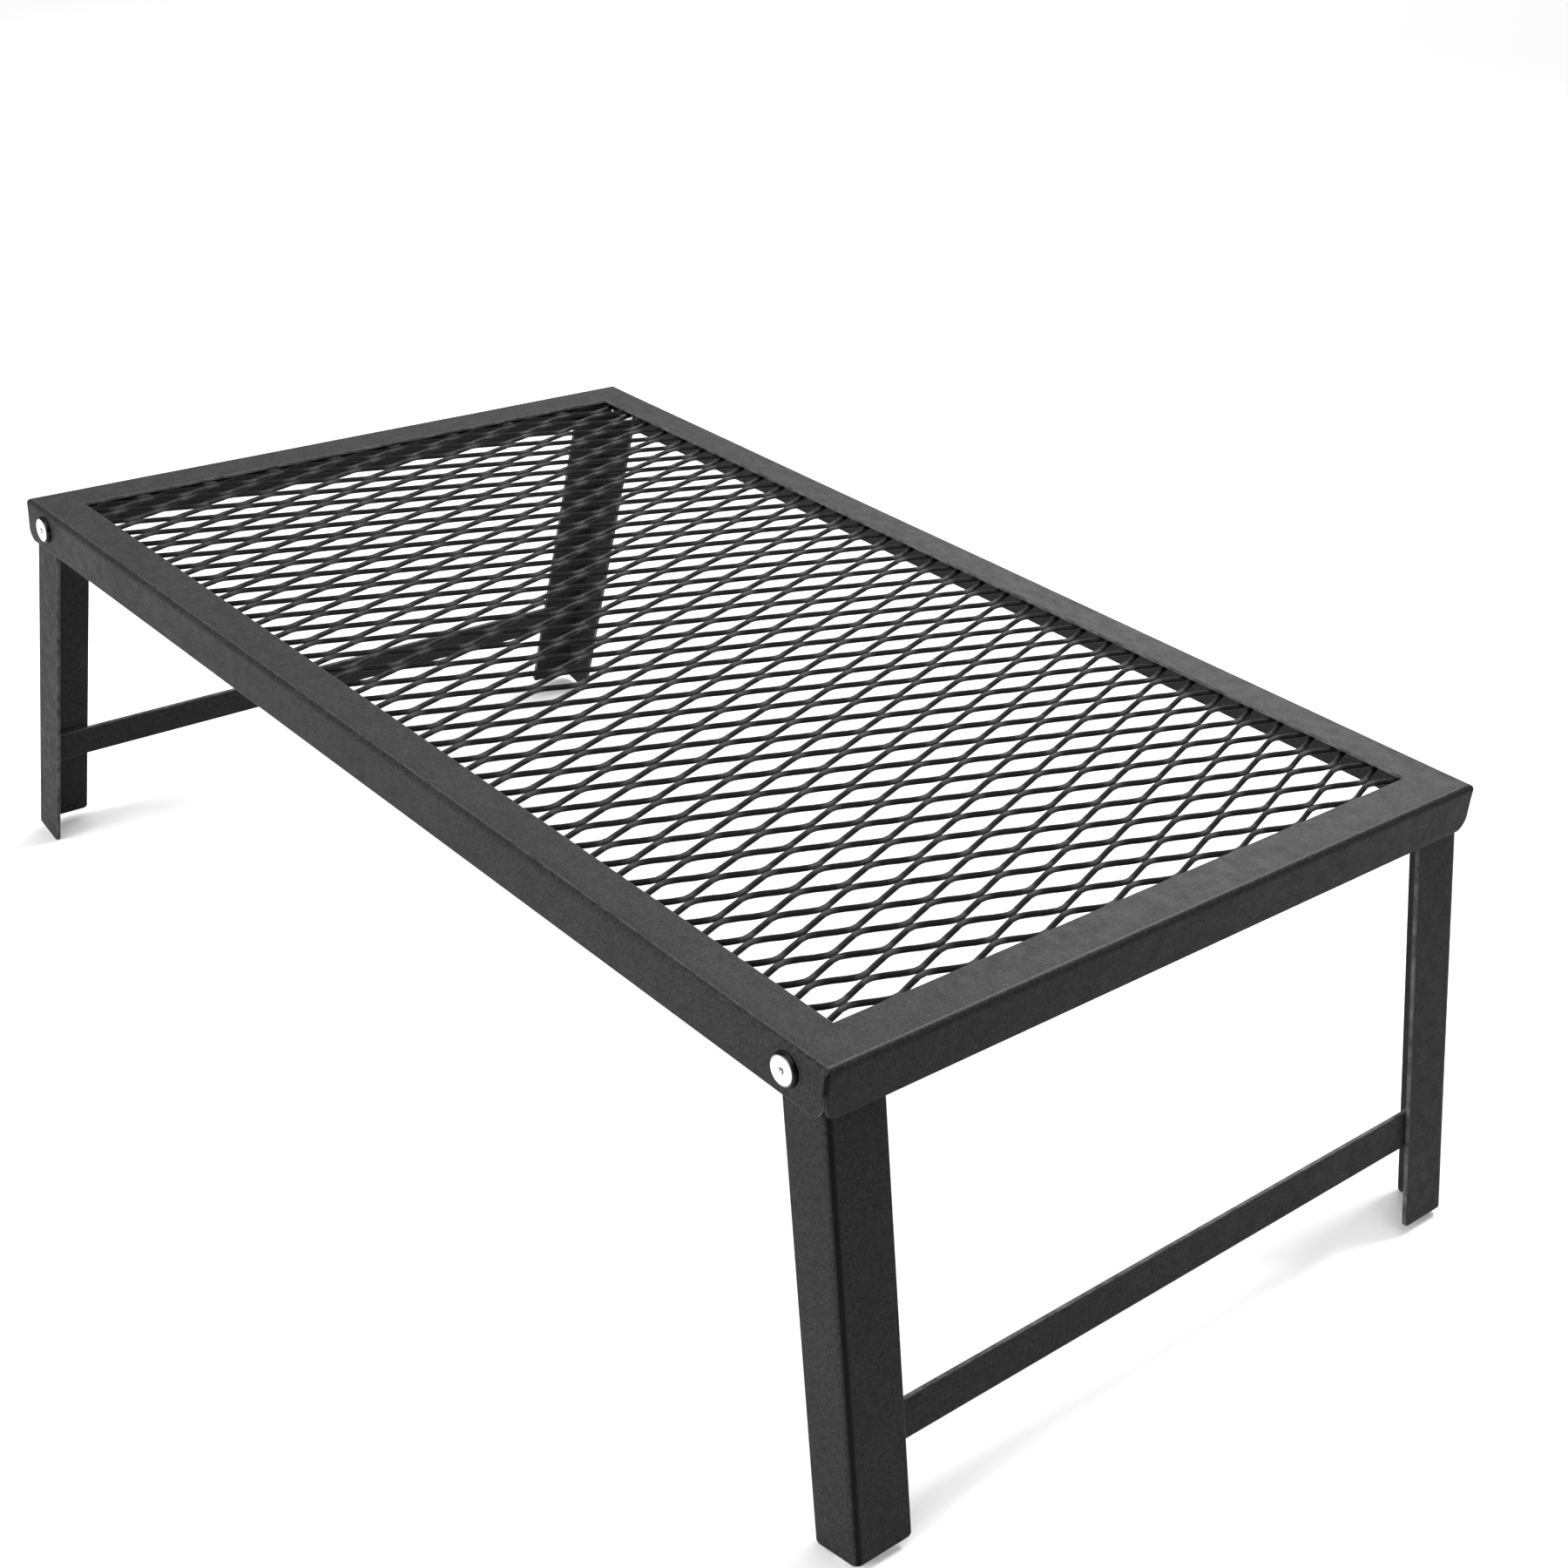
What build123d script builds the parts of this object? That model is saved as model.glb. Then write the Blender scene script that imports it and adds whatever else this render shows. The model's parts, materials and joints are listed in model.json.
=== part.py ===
from build123d import *

import os
from math import cos, radians, sin

# Folding camp grill: a welded frame of formed steel angle carries a raised expanded-metal grate,
# and stands on two leg sets. Each set is two angle legs joined by a flat crossbar. It swings on two
# rivets through the long sides, from splayed out against the end rail to folded flat under the grate.
#
# Millimetres. +X runs along the length, +Y to the rear long side, +Z up. The origin is on the floor
# under the middle of the grate, with both leg sets open.

# ---------------------------------------------------------------- driving dimensions

# Top frame
frame_length = 570.0
frame_width = 345.0
flange_width = 20.0            # top flange, from the outer face
skirt_depth = 20.0             # side skirt, from the top face
frame_sheet = 1.5
frame_bend = 3.0               # outside radius between flange and skirt
skirt_corner = 6.0             # rounded lower corner at each end of a skirt

# Grate
mesh_short_pitch = 16.0        # diamond pitch along the length
mesh_long_pitch = 35.0         # diamond pitch across the width
mesh_bond_width = 4.4          # two strands side by side, where four strands meet
mesh_bond_length = 6.0
mesh_flat = 4.0                # straight stretch beside a bond
mesh_thickness = 3.0           # raised height of the strands
mesh_border = 2.0              # closed strip at the cut edge, hidden under the flange
mesh_inset = 9.0               # outer face of the frame to the edge of the grate

# Legs
leg_length = 186.0             # pivot to foot
leg_side_width = 21.0          # flange that lies along the long side and takes the rivet
leg_end_width = 26.0           # flange that faces the end of the grill
leg_sheet = 2.0
leg_bend = 3.0                 # outside radius
leg_corner = 2.0               # rounding of the free sheet corners
leg_shoulder = 9.0             # rounding of the outer top corner
splay_angle = 12.0             # open leg to the vertical, against its stop
pivot_from_end = 19.0
pivot_drop = 9.5               # below the top face
stop_gap = 0.05                # between the open leg and the edge of the end skirt

# Crossbars
crossbar_width = 16.0
crossbar_sheet = 2.0
crossbar_from_pivot = 140.0    # pivot to the middle of the bar, along the leg
crossbar_end_gap = 6.0         # outer face of the leg to the end of the bar

# Rivets and washers
rivet_radius = 3.0
rivet_head_radius = 6.3
rivet_head_height = 2.0
rivet_head_round = 1.3         # rounding of the head's rim
rivet_dimple_radius = 1.7
rivet_dimple_depth = 0.7
rivet_tail_radius = 4.8
rivet_tail_height = 2.0
spacer_radius = 6.0
spacer_sheet = 1.0
tail_washer_radius = 6.0
tail_washer_sheet = 1.0
pin_play = 0.05                # radial, between the rivet and the leg that turns on it
fixed_play = 0.1               # radial, between the rivet and what stays still on it
side_play = 0.05               # between the leg and the washer on each side of it

# Weld beads, quarter-round
corner_bead = 1.5
corner_bead_top = 4.0          # top face to the top of the bead
mesh_bead = 2.2
mesh_bead_length = 10.0
mesh_beads_long = 8            # beads along each long side
mesh_beads_end = 4             # beads along each end
crossbar_bead = 1.8
crossbar_bead_margin = 2.0     # crossbar weld to the free edge of the leg

# ---------------------------------------------------------------- worked-out places

half_length = frame_length / 2
half_width = frame_width / 2
splay = radians(splay_angle)

# The open leg's end flange bears on the lower inside edge of the end skirt. Its outer face is this
# far from the pivot, square to the leg.
pivot_to_skirt = pivot_from_end - frame_sheet
leg_face = pivot_to_skirt * cos(splay) - (skirt_depth - pivot_drop) * sin(splay) - stop_gap
leg_back = leg_side_width - leg_face       # pivot to the inner edge of the side flange
leg_end_top = leg_back + leg_bend          # pivot down to the top of the end flange

# Height of the pivot and of the top face, with the rounded inner corner of each foot on the floor.
foot_round_down = (leg_length - leg_corner) * cos(splay)
foot_round_in = (leg_back - leg_corner) * sin(splay)
pivot_height = foot_round_down + foot_round_in + leg_corner
top = pivot_height + pivot_drop
flange_underside = top - frame_sheet

pivot_x = half_length - pivot_from_end

# Stack along a rivet, inwards from the outer face of the skirt.
leg_outer = frame_sheet + spacer_sheet + side_play
tail_washer_outer = leg_outer + leg_sheet + side_play
tail_outer = tail_washer_outer + tail_washer_sheet

leg_face_y = half_width - leg_outer
crossbar_half = leg_face_y - crossbar_end_gap

LOW, MID, HIGH = Align.MIN, Align.CENTER, Align.MAX


# ---------------------------------------------------------------- shared shapes

def angle_section(across, down, sheet, bend):
    """Formed angle with its outer corner at the origin: one flange along +x, the other along -y."""
    block = Rectangle(across, down, align=(LOW, HIGH))
    hollow = Pos(sheet, -sheet) * Rectangle(across, down, align=(LOW, HIGH))
    section = block - hollow
    section = fillet(section.vertices().sort_by_distance((0, 0, 0))[0], bend)
    return fillet(section.vertices().sort_by_distance((sheet, -sheet, 0))[0], bend - sheet)


def quarter_bead(length, radius):
    """Quarter-round weld bead along Y, filling the corner between +X and -Z from the origin."""
    profile = Circle(radius) & Rectangle(radius, radius, align=(LOW, HIGH))
    return extrude(Plane.XZ * profile, amount=length / 2, both=True)


def washer(outer_radius, thickness):
    """Flat washer round the rivet, its outer face at the origin and its axis along Y."""
    ring = Circle(outer_radius) - Circle(rivet_radius + fixed_play)
    return extrude(Plane.XZ * ring, amount=-thickness)


def spaced(count, span):
    """Middles of this many equal stretches of a span about zero."""
    return [span * ((i + 0.5) / count - 0.5) for i in range(count)]


# ---------------------------------------------------------------- top frame

def rail(length, across):
    """Front rail: a formed angle along X with mitred ends, its outer face at y = -across."""
    section = angle_section(flange_width, skirt_depth, frame_sheet, frame_bend)
    start = Plane(origin=(-length / 2, -across, top), x_dir=(0, 1, 0), z_dir=(1, 0, 0))
    bar = extrude(start * section, amount=length)

    mitred = Polygon(
        (-length / 2, -across),
        (length / 2, -across),
        (length / 2 - flange_width, flange_width - across),
        (flange_width - length / 2, flange_width - across),
        align=None,
    )
    plan = extrude(Pos(0, 0, top - skirt_depth) * mitred, amount=skirt_depth)

    face = Rectangle(length, skirt_depth, align=(MID, HIGH))
    face = fillet(face.vertices().group_by(Axis.Y)[0], skirt_corner)
    facing = Plane(origin=(0, -across, top), x_dir=(1, 0, 0), z_dir=(0, -1, 0))
    side = extrude(facing * face, amount=-flange_width)
    return bar & plan & side


def long_rail():
    """Front long rail with a hole for each leg's rivet."""
    blank = rail(frame_length, half_width)
    for x in (-pivot_x, pivot_x):
        blank -= Pos(x, -half_width, pivot_height) * Rot(90, 0, 0) * Cylinder(rivet_radius + fixed_play, 8)
    return blank


def corner_weld():
    """Bead down the inside of the front right corner, between the two skirts."""
    height = skirt_depth - skirt_corner - corner_bead_top
    profile = Circle(corner_bead) & Rectangle(corner_bead, corner_bead, align=(HIGH, LOW))
    corner = (half_length - frame_sheet, frame_sheet - half_width, top - corner_bead_top - height)
    return extrude(Pos(*corner) * profile, amount=height)


# ---------------------------------------------------------------- grate

def mesh_panel():
    """Expanded-metal sheet: diamonds in staggered rows, long way across the width."""
    length = frame_length - 2 * mesh_inset
    width = frame_width - 2 * mesh_inset
    window_x = length / 2 - mesh_border
    window_y = width / 2 - mesh_border
    window = Rectangle(2 * window_x, 2 * window_y)

    half_short = (mesh_short_pitch - mesh_bond_width) / 2
    half_long = (mesh_long_pitch - mesh_bond_length) / 2
    flat = mesh_flat / 2
    diamond = Polygon(
        (0, half_long),
        (-half_short, flat),
        (-half_short, -flat),
        (0, -half_long),
        (half_short, -flat),
        (half_short, flat),
        align=None,
    )

    openings = []
    rows = int(window_y / mesh_long_pitch * 2) + 2
    columns = int(window_x / mesh_short_pitch) + 2
    for row in range(-rows, rows + 1):
        y = row * mesh_long_pitch / 2
        stagger = mesh_short_pitch / 2 * (row % 2)
        for column in range(-columns, columns + 1):
            x = column * mesh_short_pitch + stagger
            reach_x = window_x - abs(x)
            reach_y = window_y - abs(y)
            if reach_x < -half_short / 2 or reach_y < -half_long / 2:
                continue
            opening = Pos(x, y) * diamond
            if reach_x < half_short or reach_y < half_long:
                opening = opening & window
            openings += opening.faces()

    outline = Rectangle(length, width).face()
    sheet = Face(outline.outer_wire(), [opening.outer_wire() for opening in openings])
    return Pos(0, 0, flange_underside - mesh_thickness) * extrude(sheet, amount=mesh_thickness, dir=(0, 0, 1))


def mesh_welds():
    """Short beads that hold the edge of the grate to the underside of the flange."""
    edge_x = half_length - mesh_inset
    edge_y = half_width - mesh_inset
    bead = quarter_bead(mesh_bead_length, mesh_bead)
    beads = []
    for y in spaced(mesh_beads_end, 2 * edge_y):
        beads.append(Pos(edge_x, y, flange_underside) * bead)
        beads.append(Pos(-edge_x, y, flange_underside) * Rot(0, 0, 180) * bead)
    for x in spaced(mesh_beads_long, 2 * edge_x):
        beads.append(Pos(x, edge_y, flange_underside) * Rot(0, 0, 90) * bead)
        beads.append(Pos(x, -edge_y, flange_underside) * Rot(0, 0, -90) * bead)
    return Compound(beads)


# ---------------------------------------------------------------- leg set, at the right-hand end

def open_out(shape):
    """Swing a shape made about an upright leg's pivot out to its stop, and move it to the pivot."""
    return Pos(pivot_x, 0, pivot_height) * Rot(0, -splay_angle, 0) * shape


def leg():
    """Front right leg: the side flange is rounded over the rivet, the end flange starts below it."""
    section = angle_section(leg_side_width, leg_end_width, leg_sheet, leg_bend)
    start = Plane(origin=(leg_face, 0, -leg_end_top), x_dir=(-1, 0, 0), z_dir=(0, 0, 1))
    blank = extrude(start * section, amount=leg_end_top - leg_length)

    lug_width = leg_side_width - leg_bend
    lug_height = leg_back + leg_end_top + leg_corner
    lug = Pos(-leg_back, leg_back) * Rectangle(lug_width, lug_height, align=(LOW, HIGH))
    top_inner, top_outer = lug.vertices().group_by(Axis.Y)[-1].sort_by(Axis.X)
    lug = fillet(top_inner, leg_back)
    lug = fillet(lug.vertices().sort_by_distance(top_outer)[0], leg_shoulder)
    facing = Plane(origin=(0, 0, 0), x_dir=(1, 0, 0), z_dir=(0, -1, 0))
    blank += extrude(facing * lug, amount=-leg_sheet)

    foot_side = blank.edges().filter_by(Axis.Y).group_by(Axis.Z)[0].sort_by(Axis.X)[0]
    foot_end = blank.edges().filter_by(Axis.X).group_by(Axis.Z)[0].sort_by(Axis.Y)[-1]
    top_end = blank.edges().filter_by(Axis.X).group_by(Axis.Y)[-1].sort_by(Axis.Z)[-1]
    blank = fillet([foot_side, foot_end, top_end], leg_corner)

    blank -= Rot(90, 0, 0) * Cylinder(rivet_radius + pin_play, 4 * leg_sheet)
    return open_out(Pos(0, -leg_face_y, 0) * blank)


def crossbar():
    """Flat bar against the inner faces of the two end flanges."""
    bar = Box(crossbar_sheet, 2 * crossbar_half, crossbar_width, align=(HIGH, MID, MID))
    return open_out(Pos(leg_face - leg_sheet, 0, -crossbar_from_pivot) * bar)


def crossbar_welds():
    """Beads along the upper and lower edges of the bar, where it lies on each leg."""
    flange_edge = leg_face_y - leg_end_width + crossbar_bead_margin
    length = crossbar_half - flange_edge
    lower = Rot(0, 0, 180) * quarter_bead(length, crossbar_bead)
    upper = mirror(lower, about=Plane.XY)
    beads = []
    for y in (-1, 1):
        middle = y * (crossbar_half + flange_edge) / 2
        for drop, bead in ((crossbar_width / 2, lower), (-crossbar_width / 2, upper)):
            beads.append(open_out(Pos(leg_face - leg_sheet, middle, -crossbar_from_pivot - drop) * bead))
    return Compound(beads)


# ---------------------------------------------------------------- pivots

def rivet():
    """Rivet on the Y axis: head on the outer face at y = 0, with a dimple, and its set tail inside."""
    lying = Rot(-90, 0, 0)
    head = Cylinder(rivet_head_radius, rivet_head_height, align=(MID, MID, HIGH))
    head = fillet(head.edges().group_by(Axis.Z)[0], rivet_head_round)
    dimple_ball = (rivet_dimple_radius**2 + rivet_dimple_depth**2) / (2 * rivet_dimple_depth)
    head -= Pos(0, 0, rivet_dimple_depth - rivet_head_height - dimple_ball) * Sphere(dimple_ball)
    shank = Cylinder(rivet_radius, tail_outer, align=(MID, MID, LOW))
    tail = Cylinder(rivet_tail_radius, rivet_tail_height, align=(MID, MID, LOW))
    tail = fillet(tail.edges().group_by(Axis.Z)[-1], rivet_tail_height / 2)
    return lying * (head + shank + Pos(0, 0, tail_outer) * tail)


# ---------------------------------------------------------------- nodes

parts = {}

front_rail = long_rail()
right_rail = Rot(0, 0, 90) * rail(frame_width, half_length)
parts["front_long_rail"] = front_rail
parts["rear_long_rail"] = Rot(0, 0, 180) * front_rail
parts["right_end_rail"] = right_rail
parts["left_end_rail"] = Rot(0, 0, 180) * right_rail

front_right_weld = corner_weld()
right_welds = [front_right_weld, mirror(front_right_weld, about=Plane.XZ)]
left_welds = [mirror(bead, about=Plane.YZ) for bead in right_welds]
parts["corner_welds"] = Compound(right_welds + left_welds)

parts["mesh_panel"] = mesh_panel()
parts["mesh_welds"] = mesh_welds()

front_right_leg = leg()
right_legs = {"front": front_right_leg, "rear": mirror(front_right_leg, about=Plane.XZ)}
right_bar = {"crossbar": crossbar(), "crossbar_welds": crossbar_welds()}
for side, shape in right_legs.items():
    parts[f"right_{side}_leg"] = shape
    parts[f"left_{side}_leg"] = mirror(shape, about=Plane.YZ)
for name, shape in right_bar.items():
    parts[f"right_{name}"] = shape
    parts[f"left_{name}"] = mirror(shape, about=Plane.YZ)

pivot_stack = {
    "rivet": rivet(),
    "spacer_washer": Pos(0, frame_sheet, 0) * washer(spacer_radius, spacer_sheet),
    "tail_washer": Pos(0, tail_washer_outer, 0) * washer(tail_washer_radius, tail_washer_sheet),
}
for name, shape in pivot_stack.items():
    for end, x in (("left", -pivot_x), ("right", pivot_x)):
        parts[f"{end}_front_{name}"] = Pos(x, -half_width, pivot_height) * shape
        parts[f"{end}_rear_{name}"] = Pos(x, half_width, pivot_height) * Rot(0, 0, 180) * shape

os.makedirs("parts", exist_ok=True)
for name, shape in parts.items():
    export_step(shape, f"parts/{name}.step")
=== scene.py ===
"""Looks of a folding camp grill: formed steel frame, expanded-metal grate, riveted folding leg sets.

Metres throughout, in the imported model's own frame: +X along the length, +Y to the rear long side,
+Z up, the origin on the floor under the middle of the grate. Every piece is a skin worked out on a
parameter grid, with its place in its vertices.
"""

import json
import logging
from dataclasses import dataclass
from enum import Enum
from math import cos, pi, radians, sin

import bpy
import numpy as np
from mathutils import Matrix, Vector


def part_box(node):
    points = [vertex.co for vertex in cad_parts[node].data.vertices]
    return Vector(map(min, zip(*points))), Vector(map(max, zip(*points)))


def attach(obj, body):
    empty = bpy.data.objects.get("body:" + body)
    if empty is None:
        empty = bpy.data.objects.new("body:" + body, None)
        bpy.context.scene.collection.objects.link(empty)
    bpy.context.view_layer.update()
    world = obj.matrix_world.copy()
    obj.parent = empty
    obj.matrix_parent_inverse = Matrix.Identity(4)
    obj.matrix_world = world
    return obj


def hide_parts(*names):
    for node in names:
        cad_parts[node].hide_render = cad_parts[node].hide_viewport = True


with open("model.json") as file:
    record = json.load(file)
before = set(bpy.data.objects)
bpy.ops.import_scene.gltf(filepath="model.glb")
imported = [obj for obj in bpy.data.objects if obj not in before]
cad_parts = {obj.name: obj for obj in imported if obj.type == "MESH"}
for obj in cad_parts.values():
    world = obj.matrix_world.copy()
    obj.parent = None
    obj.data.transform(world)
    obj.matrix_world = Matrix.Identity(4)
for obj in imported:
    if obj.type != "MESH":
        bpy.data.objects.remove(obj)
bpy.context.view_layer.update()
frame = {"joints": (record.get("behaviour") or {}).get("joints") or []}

LOG = logging.getLogger("camp_grill")
MM = 0.001

Grid = np.ndarray
Face = tuple[int, ...]
Triple = tuple[float, float, float]
Socket = bpy.types.NodeSocket
Finish = bpy.types.Material
Tint = Triple | Socket


class End(Enum):
    """The two ends of the grill, by the sign of their X."""

    LEFT = -1
    RIGHT = 1


class Side(Enum):
    """The two long sides of the grill, by the sign of their Y."""

    FRONT = -1
    REAR = 1


@dataclass
class Skin:
    """A closed skin: points, faces as index lists, and each point's wear and painted light.

    Attributes:
        points: One row of x, y, z for each point.
        faces: Lists of point numbers, turned outwards.
        wear: One value for each point: 1 for rubbed edges and painted highlights, 0 as sprayed, -1 for
            painted shade; on bright steel, values above 0 are painted shade.
    """

    points: Grid
    faces: list[Face]
    wear: Grid

    def moved(self, matrix: Matrix) -> "Skin":
        """Carry the skin by a matrix, and keep its faces outwards where the matrix mirrors it.

        Args:
            matrix: A 4 by 4 placement.

        Returns:
            The carried skin.
        """
        m = np.array(matrix)
        points = self.points @ m[:3, :3].T + m[:3, 3]
        mirrored = np.linalg.det(m[:3, :3]) < 0
        faces = [face[::-1] for face in self.faces] if mirrored else self.faces
        return Skin(points, faces, self.wear)


def joined(skins: list[Skin]) -> Skin:
    """Put several skins into one.

    Args:
        skins: The skins, each closed.

    Returns:
        One skin that holds them all.
    """
    faces: list[Face] = []
    start = 0
    for skin in skins:
        faces += [tuple(np.add(face, start).tolist()) for face in skin.faces]
        start += len(skin.points)
    points = np.concatenate([skin.points for skin in skins])
    return Skin(points, faces, np.concatenate([skin.wear for skin in skins]))


def outward(points: Grid, faces: list[Face]) -> list[Face]:
    """Turn a closed skin's faces outwards, by the sign of its volume.

    The volume is the sum over each face's fan of triangles of a . (b x c) / 6.

    Args:
        points: The skin's points.
        faces: Its faces, all turned the same way.

    Returns:
        The faces, reversed where the volume was negative.
    """
    fans = [(face[0], face[i], face[i + 1]) for face in faces for i in range(1, len(face) - 1)]
    a, b, c = points[np.array(fans)].transpose(1, 0, 2)
    volume = np.einsum("ij,ij->i", a, np.cross(b, c)).sum() / 6
    return [face[::-1] for face in faces] if volume < 0 else faces


def grid_quads(rows: int, columns: int, round_columns: bool = False) -> Grid:
    """Quads of a grid of points numbered row by row.

    Quad (i, j) joins points (i, j), (i + 1, j), (i + 1, j + 1) and (i, j + 1).

    Args:
        rows: Points along the first parameter.
        columns: Points along the second.
        round_columns: True where the last column meets the first.

    Returns:
        An array of four point numbers a row.
    """
    i = np.arange(rows - 1)[:, None] * columns
    j = np.arange(columns if round_columns else columns - 1)[None, :]
    k = (j + 1) % columns
    return np.stack([i + j, i + columns + j, i + columns + k, i + k], -1).reshape(-1, 4)


def plate(outer: Grid, inner: Grid, wear: Grid) -> Skin:
    """Closed skin of a plate from its two faces, given as grids of the same shape.

    The rim is a strip of quads from the border of one grid to the border of the other.

    Args:
        outer: Points of the outer face, rows by columns by 3.
        inner: Points of the inner face, in the same order.
        wear: Wear and painted light of both faces, rows by columns.

    Returns:
        The closed skin.
    """
    rows, columns = outer.shape[:2]
    count = rows * columns
    quads = grid_quads(rows, columns)
    number = np.arange(count).reshape(rows, columns)
    border = np.concatenate([number[:-1, 0], number[-1, :-1], number[:0:-1, -1], number[0, :0:-1]])
    after = np.roll(border, -1)
    rim = np.stack([after, border, border + count, after + count], -1)
    every = np.concatenate([quads, quads[:, ::-1] + count, rim])
    points = np.concatenate([outer.reshape(-1, 3), inner.reshape(-1, 3)])
    return Skin(points, outward(points, list(map(tuple, every.tolist()))), np.tile(wear.ravel(), 2))


def swept(rings: Grid, wear: Grid) -> Skin:
    """Closed skin of a profile carried along a path, with a flat cap on each end.

    Args:
        rings: Points, stations along the path by points round the profile by 3.
        wear: Wear and painted light, stations by points round the profile.

    Returns:
        The closed skin.
    """
    stations, around = rings.shape[:2]
    faces = list(map(tuple, grid_quads(stations, around, round_columns=True).tolist()))
    last = (stations - 1) * around
    faces += [tuple(range(around)), tuple(range(last + around - 1, last - 1, -1))]
    points = rings.reshape(-1, 3)
    return Skin(points, outward(points, faces), wear.ravel())


def turned(radius: Grid, height: Grid, wear: Grid, around: int = 64) -> Skin:
    """Closed skin of a profile turned about the Z axis, which it meets at both ends.

    Point (i, j) is (r_i cos a_j, r_i sin a_j, h_i), with one pole point at each end.

    Args:
        radius: Radius of each profile point, from 0 back to 0.
        height: Height of each profile point.
        wear: Wear and painted light of each profile point.
        around: Points round the axis.

    Returns:
        The closed skin.
    """
    angle = np.arange(around) * 2 * pi / around
    ring = radius[1:-1, None] * np.stack([np.cos(angle), np.sin(angle)])[:, None, :]
    level = np.broadcast_to(height[1:-1, None], ring.shape[1:])
    body = np.stack([ring[0], ring[1], level], -1).reshape(-1, 3)
    poles = np.array([[0, 0, height[0]], [0, 0, height[-1]]])
    rows = len(radius) - 2
    faces = list(map(tuple, grid_quads(rows, around, round_columns=True).tolist()))
    first, last, end = rows * around, rows * around + 1, (rows - 1) * around
    j = np.arange(around)
    k = (j + 1) % around
    faces += list(map(tuple, np.stack([np.full(around, first), j, k], -1).tolist()))
    faces += list(map(tuple, np.stack([np.full(around, last), end + k, end + j], -1).tolist()))
    points = np.concatenate([body, poles])
    values = np.concatenate([np.repeat(wear[1:-1], around), wear[[0, -1]]])
    return Skin(points, outward(points, faces), values)


def ring_turned(radius: Grid, height: Grid, wear: Grid, around: int = 48) -> Skin:
    """Closed skin of a closed profile turned about the Z axis, clear of it, as a washer is.

    Args:
        radius: Radius of each point round the profile.
        height: Height of each point round the profile.
        wear: Wear and painted light of each point round the profile.
        around: Points round the axis.

    Returns:
        The closed skin.
    """
    angle = np.arange(around + 1) * 2 * pi / around
    rings = np.stack([
        np.cos(angle)[:, None] * radius, np.sin(angle)[:, None] * radius, np.tile(height, (around + 1, 1)),
    ], -1)
    faces = grid_quads(around + 1, len(radius), round_columns=True) % (around * len(radius))
    points = rings[:-1].reshape(-1, 3)
    return Skin(points, outward(points, list(map(tuple, faces.tolist()))), np.tile(wear, around))


def piece(name: str, skin: Skin, material: Finish, body: str, slot: str, *nodes: str,
          sharp: float = 50.0) -> bpy.types.Object:
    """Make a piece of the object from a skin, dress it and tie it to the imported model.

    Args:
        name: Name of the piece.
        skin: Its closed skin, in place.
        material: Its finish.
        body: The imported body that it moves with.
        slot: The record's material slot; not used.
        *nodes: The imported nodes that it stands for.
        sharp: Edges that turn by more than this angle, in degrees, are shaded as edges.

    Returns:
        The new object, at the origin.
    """
    mesh = bpy.data.meshes.new(name)
    mesh.from_pydata(skin.points.tolist(), [], skin.faces)
    mesh.polygons.foreach_set("use_smooth", np.ones(len(mesh.polygons), bool))
    mesh.set_sharp_from_angle(angle=radians(sharp))
    worn_and_painted_light = mesh.attributes.new("wear", "FLOAT", "POINT")
    worn_and_painted_light.data.foreach_set("value", skin.wear.astype(np.float32))
    mesh.materials.append(material)
    mesh.update()
    made = bpy.data.objects.new(name, mesh)
    bpy.context.scene.collection.objects.link(made)
    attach(made, body)
    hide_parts(*nodes)
    LOG.info("%s: %d faces, rides on %s, stands for %s", name, len(mesh.polygons), body, ", ".join(nodes))
    return made


def lip_drop(distance: Grid, lip: float) -> Grid:
    """How far a face falls back towards the middle of the sheet near a cut edge.

    A quarter circle of the lip's radius: lip - sqrt(lip^2 - (lip - d)^2), and 0 beyond the lip.

    Args:
        distance: Distance of each point from the nearest cut edge.
        lip: Radius of the rounded edge.

    Returns:
        The drop at each point.
    """
    short = lip - np.clip(distance, 0, lip)
    return lip - np.sqrt(np.maximum(lip**2 - short**2, 0))


def edge_marks(lip: float) -> Grid:
    """Distances from a cut edge at which a sheet has points, to round its lip and keep the flat flat."""
    return lip * np.array([0.0, 0.08, 0.35, 1.0, 1.7])


def rubbed(distance: Grid, reach: float) -> Grid:
    """Wear beside an edge: 1 on it, falling smoothly to 0 at the given reach."""
    near = np.clip(1 - distance / reach, 0, 1)
    return near * near * (3 - 2 * near)


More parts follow.
